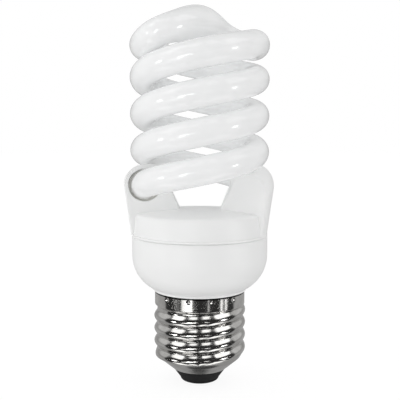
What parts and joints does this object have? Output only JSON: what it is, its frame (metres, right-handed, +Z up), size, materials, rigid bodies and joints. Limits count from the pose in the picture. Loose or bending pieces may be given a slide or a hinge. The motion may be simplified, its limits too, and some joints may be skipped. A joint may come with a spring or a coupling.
{
  "type": "spiral energy saving lamp",
  "caption": "Spiral energy saving lamp: a white glass tube wound as a coil, its ends in hooded sockets on a round ballast housing with a metal screw cap.",
  "frame": {"origin": "middle of the centre contact's flat face, at the bottom of the cap", "axes": "+Z up the lamp's axis from the cap to the tube, -Y towards the picture's camera, +X to the right in the picture"},
  "size_m": [0.0424, 0.039, 0.1069],
  "materials": {
    "tube_glass": "satin",
    "white_plastic": "satin",
    "cap_metal": "polished",
    "insulator_black": "satin",
    "contact_metal": "polished",
    "tin": "satin",
    "capacitor_sleeve": "satin",
    "ferrite": "matte",
    "bobbin_plastic": "matte",
    "copper_wire": "polished",
    "film_coating": "satin",
    "transistor_plastic": "matte",
    "resistor_coating": "matte",
    "diac_glass": "polished",
    "wire_insulation": "matte",
    "cement": "matte",
    "board_laminate": "matte"
  },
  "bodies": {
    "root": {"discharge_tube": "tube_glass", "tube_cover": "white_plastic", "ballast_housing": "white_plastic", "cap_shell": "cap_metal", "cap_insulator": "insulator_black", "centre_contact": "contact_metal", "contact_solder": "tin", "bulk_capacitor": "capacitor_sleeve", "choke_core": "ferrite", "choke_bobbin": "bobbin_plastic", "choke_winding": "copper_wire", "toroid_core": "ferrite", "toroid_winding": "copper_wire", "resonant_capacitor": "film_coating", "coupling_capacitor": "film_coating", "transistor_high": "transistor_plastic", "transistor_low": "transistor_plastic", "rectifier_diodes": "transistor_plastic", "resistors": "resistor_coating", "diac": "diac_glass", "live_lead": "wire_insulation", "fusible_resistor": "resistor_coating", "neutral_lead": "wire_insulation", "wrap_pins": "tin", "filament_leads_left": "tin", "filament_leads_right": "tin", "tube_cement": "cement", "circuit_board": "board_laminate"}
  },
  "joints": []
}
